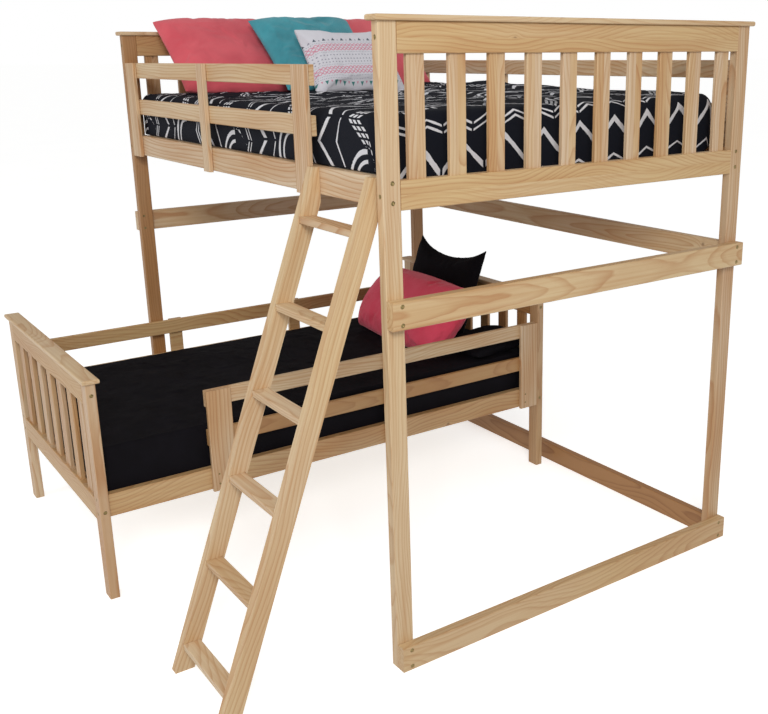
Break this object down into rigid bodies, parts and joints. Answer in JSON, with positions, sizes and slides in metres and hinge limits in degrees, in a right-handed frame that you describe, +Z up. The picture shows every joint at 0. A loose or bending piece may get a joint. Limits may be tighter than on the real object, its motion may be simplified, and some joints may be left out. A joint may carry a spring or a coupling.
{
  "type": "loft bed",
  "caption": "Pine loft bed with a leaning ladder, slatted end panels and guard rails, over a free-standing lower bed set crossways, both made up with bedding.",
  "frame": {"origin": "centre of the overall outline at floor level", "axes": "+X along the loft from the pillows to the end panel beside the ladder, +Y from the ladder side to the wall side, +Z up"},
  "size_m": [2.1506, 2.091, 1.9874],
  "materials": {
    "pine": "sanded bare pine with strong grain, no stain",
    "ticking": "white quilted ticking",
    "printed_cotton": "near-black navy cotton with off-white chevrons, dashes and arcs",
    "black_cotton": "plain matte cotton",
    "coral_cotton": "plain matte cotton",
    "teal_cotton": "plain matte cotton",
    "white_cotton": "off-white cotton with small teal, pink and grey pattern rows"
  },
  "bodies": {
    "loft": {"ladder_stile_far": "pine", "ladder_stile_near": "pine", "ladder_tread_1": "pine", "ladder_tread_2": "pine", "ladder_tread_3": "pine", "ladder_tread_4": "pine", "ladder_tread_5": "pine", "ladder_tread_6": "pine", "loft_cap_foot": "pine", "loft_cap_head": "pine", "loft_comforter": "printed_cotton", "loft_floor_rail_foot": "pine", "loft_floor_rail_head": "pine", "loft_floor_rail_wall": "pine", "loft_guard_entry_foot_board": "pine", "loft_guard_entry_head_board": "pine", "loft_guard_entry_mid_rail": "pine", "loft_guard_entry_middle_board": "pine", "loft_guard_entry_top_rail": "pine", "loft_guard_wall": "pine", "loft_mattress": "ticking", "loft_mid_rail_foot": "pine", "loft_mid_rail_head": "pine", "loft_mid_rail_wall": "pine", "loft_panel_foot": "pine", "loft_panel_head": "pine", "loft_pillow_coral_entry": "coral_cotton", "loft_pillow_coral_wall": "coral_cotton", "loft_pillow_patterned": "white_cotton", "loft_pillow_teal": "teal_cotton", "loft_post_foot_entry": "pine", "loft_post_foot_wall": "pine", "loft_post_head_entry": "pine", "loft_post_head_wall": "pine", "loft_side_rail_entry": "pine", "loft_side_rail_wall": "pine", "loft_slat_deck": "pine"},
    "lower_bed": {"twin_blanket": "black_cotton", "twin_cap_foot": "pine", "twin_cap_head": "pine", "twin_guard_entry_foot_board": "pine", "twin_guard_entry_head_board": "pine", "twin_guard_entry_mid_rail": "pine", "twin_guard_entry_middle_board": "pine", "twin_guard_entry_top_rail": "pine", "twin_guard_wall": "pine", "twin_mattress": "ticking", "twin_panel_foot": "pine", "twin_panel_head": "pine", "twin_pillow_black_low": "black_cotton", "twin_pillow_black_upright": "black_cotton", "twin_pillow_coral": "coral_cotton", "twin_post_foot_entry": "pine", "twin_post_foot_wall": "pine", "twin_post_head_entry": "pine", "twin_post_head_wall": "pine", "twin_side_rail_entry": "pine", "twin_side_rail_wall": "pine", "twin_slat_deck": "pine"}
  },
  "joints": [
    {"name": "lower_bed_slide", "type": "slide", "parent": "loft", "child": "lower_bed", "axis": [0, -1, 0], "range_m": [-0.04, 0.6]}
  ]
}
